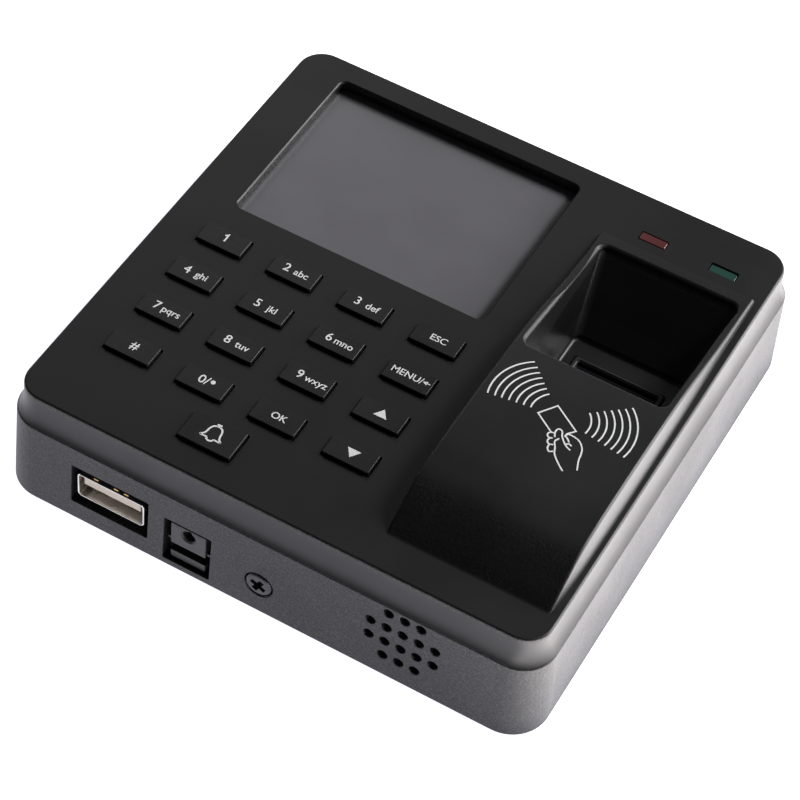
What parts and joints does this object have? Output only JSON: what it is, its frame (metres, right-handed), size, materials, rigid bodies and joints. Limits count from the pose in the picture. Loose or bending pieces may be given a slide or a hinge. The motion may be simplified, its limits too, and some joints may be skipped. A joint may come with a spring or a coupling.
{
  "type": "fingerprint scanner terminal",
  "caption": "Square black access terminal with a display, a raised keypad, a sloped finger well over an optical sensor, two lamp windows and ports in its front wall.",
  "frame": {"origin": "middle of the flat back, at wall-plate level", "axes": "+X to the right of the face, +Y towards the display end, +Z out of the face; the ports look along -Y"},
  "size_m": [0.102, 0.102, 0.0303],
  "materials": {
    "case": "fine-grained black moulding",
    "wedge_grain": "leather-grained black moulding on the ramp",
    "keycap": "satin black moulding with white legends",
    "legend": "white printed legend",
    "card_symbol": "symbol moulded in the black plastic",
    "screen": "grey clear-coated window",
    "panel": "dark display glass",
    "sensor_glass": "dark polished glass",
    "prism": "clear polished glass",
    "board": "green solder mask",
    "chip": "black moulded package",
    "silicone": "soft grey silicone",
    "film": "amber flexible film",
    "shell_steel": "bright plated sheet",
    "plate_steel": "zinc-plated sheet",
    "screw_steel": "plated screw",
    "coil": "enamelled copper wire",
    "socket": "dark grey moulding",
    "tongue": "ivory moulding",
    "red_lens": "dark red lens",
    "green_lens": "dull green lens",
    "lamp_body": "white lamp package"
  },
  "bodies": {
    "terminal": {"board_screw_1": "screw_steel", "board_screw_2": "screw_steel", "board_screw_3": "screw_steel", "board_screw_4": "screw_steel", "clock_battery": "plate_steel", "cover_screw_1": "screw_steel", "cover_screw_2": "screw_steel", "cover_screw_3": "screw_steel", "cover_screw_4": "screw_steel", "display_panel": "panel", "display_ribbon": "film", "display_tray": "plate_steel", "display_window": "screen", "finger_window": "sensor_glass", "front_housing": "case", "keypad_board": "board", "keypad_mat": "silicone", "keypad_ribbon": "film", "lamp_board": "board", "lamp_green": "lamp_body", "lamp_red": "lamp_body", "lamp_window_green": "green_lens", "lamp_window_red": "red_lens", "lock_screw": "screw_steel", "main_board": "board", "memory_chip": "chip", "power_socket": "socket", "processor": "chip", "reader_board": "board", "reader_coil": "coil", "rear_cover": "case", "sensor_bezel": "case", "sensor_board": "board", "sensor_camera": "chip", "sensor_prism": "prism", "speaker": "chip", "usb_shell": "shell_steel", "usb_tongue": "tongue", "wall_plate": "plate_steel"},
    "key_0": {"key_0": "keycap"},
    "key_1": {"key_1": "keycap"},
    "key_2": {"key_2": "keycap"},
    "key_3": {"key_3": "keycap"},
    "key_4": {"key_4": "keycap"},
    "key_5": {"key_5": "keycap"},
    "key_6": {"key_6": "keycap"},
    "key_7": {"key_7": "keycap"},
    "key_8": {"key_8": "keycap"},
    "key_9": {"key_9": "keycap"},
    "key_bell": {"key_bell": "keycap"},
    "key_down": {"key_down": "keycap"},
    "key_esc": {"key_esc": "keycap"},
    "key_hash": {"key_hash": "keycap"},
    "key_menu": {"key_menu": "keycap"},
    "key_ok": {"key_ok": "keycap"},
    "key_up": {"key_up": "keycap"}
  },
  "joints": [
    {"name": "key_0_press", "type": "slide", "parent": "terminal", "child": "key_0", "axis": [0, 0, -1], "range_m": [0, 0.0008], "stiffness_N_per_m": 800, "springref_m": -0.0005, "deforming": ["keypad_mat"]},
    {"name": "key_1_press", "type": "slide", "parent": "terminal", "child": "key_1", "axis": [0, 0, -1], "range_m": [0, 0.0008], "stiffness_N_per_m": 800, "springref_m": -0.0005, "deforming": ["keypad_mat"]},
    {"name": "key_2_press", "type": "slide", "parent": "terminal", "child": "key_2", "axis": [0, 0, -1], "range_m": [0, 0.0008], "stiffness_N_per_m": 800, "springref_m": -0.0005, "deforming": ["keypad_mat"]},
    {"name": "key_3_press", "type": "slide", "parent": "terminal", "child": "key_3", "axis": [0, 0, -1], "range_m": [0, 0.0008], "stiffness_N_per_m": 800, "springref_m": -0.0005, "deforming": ["keypad_mat"]},
    {"name": "key_4_press", "type": "slide", "parent": "terminal", "child": "key_4", "axis": [0, 0, -1], "range_m": [0, 0.0008], "stiffness_N_per_m": 800, "springref_m": -0.0005, "deforming": ["keypad_mat"]},
    {"name": "key_5_press", "type": "slide", "parent": "terminal", "child": "key_5", "axis": [0, 0, -1], "range_m": [0, 0.0008], "stiffness_N_per_m": 800, "springref_m": -0.0005, "deforming": ["keypad_mat"]},
    {"name": "key_6_press", "type": "slide", "parent": "terminal", "child": "key_6", "axis": [0, 0, -1], "range_m": [0, 0.0008], "stiffness_N_per_m": 800, "springref_m": -0.0005, "deforming": ["keypad_mat"]},
    {"name": "key_7_press", "type": "slide", "parent": "terminal", "child": "key_7", "axis": [0, 0, -1], "range_m": [0, 0.0008], "stiffness_N_per_m": 800, "springref_m": -0.0005, "deforming": ["keypad_mat"]},
    {"name": "key_8_press", "type": "slide", "parent": "terminal", "child": "key_8", "axis": [0, 0, -1], "range_m": [0, 0.0008], "stiffness_N_per_m": 800, "springref_m": -0.0005, "deforming": ["keypad_mat"]},
    {"name": "key_9_press", "type": "slide", "parent": "terminal", "child": "key_9", "axis": [0, 0, -1], "range_m": [0, 0.0008], "stiffness_N_per_m": 800, "springref_m": -0.0005, "deforming": ["keypad_mat"]},
    {"name": "key_bell_press", "type": "slide", "parent": "terminal", "child": "key_bell", "axis": [0, 0, -1], "range_m": [0, 0.0008], "stiffness_N_per_m": 800, "springref_m": -0.0005, "deforming": ["keypad_mat"]},
    {"name": "key_down_press", "type": "slide", "parent": "terminal", "child": "key_down", "axis": [0, 0, -1], "range_m": [0, 0.0008], "stiffness_N_per_m": 800, "springref_m": -0.0005, "deforming": ["keypad_mat"]},
    {"name": "key_esc_press", "type": "slide", "parent": "terminal", "child": "key_esc", "axis": [0, 0, -1], "range_m": [0, 0.0008], "stiffness_N_per_m": 800, "springref_m": -0.0005, "deforming": ["keypad_mat"]},
    {"name": "key_hash_press", "type": "slide", "parent": "terminal", "child": "key_hash", "axis": [0, 0, -1], "range_m": [0, 0.0008], "stiffness_N_per_m": 800, "springref_m": -0.0005, "deforming": ["keypad_mat"]},
    {"name": "key_menu_press", "type": "slide", "parent": "terminal", "child": "key_menu", "axis": [0, 0, -1], "range_m": [0, 0.0008], "stiffness_N_per_m": 800, "springref_m": -0.0005, "deforming": ["keypad_mat"]},
    {"name": "key_ok_press", "type": "slide", "parent": "terminal", "child": "key_ok", "axis": [0, 0, -1], "range_m": [0, 0.0008], "stiffness_N_per_m": 800, "springref_m": -0.0005, "deforming": ["keypad_mat"]},
    {"name": "key_up_press", "type": "slide", "parent": "terminal", "child": "key_up", "axis": [0, 0, -1], "range_m": [0, 0.0008], "stiffness_N_per_m": 800, "springref_m": -0.0005, "deforming": ["keypad_mat"]}
  ]
}
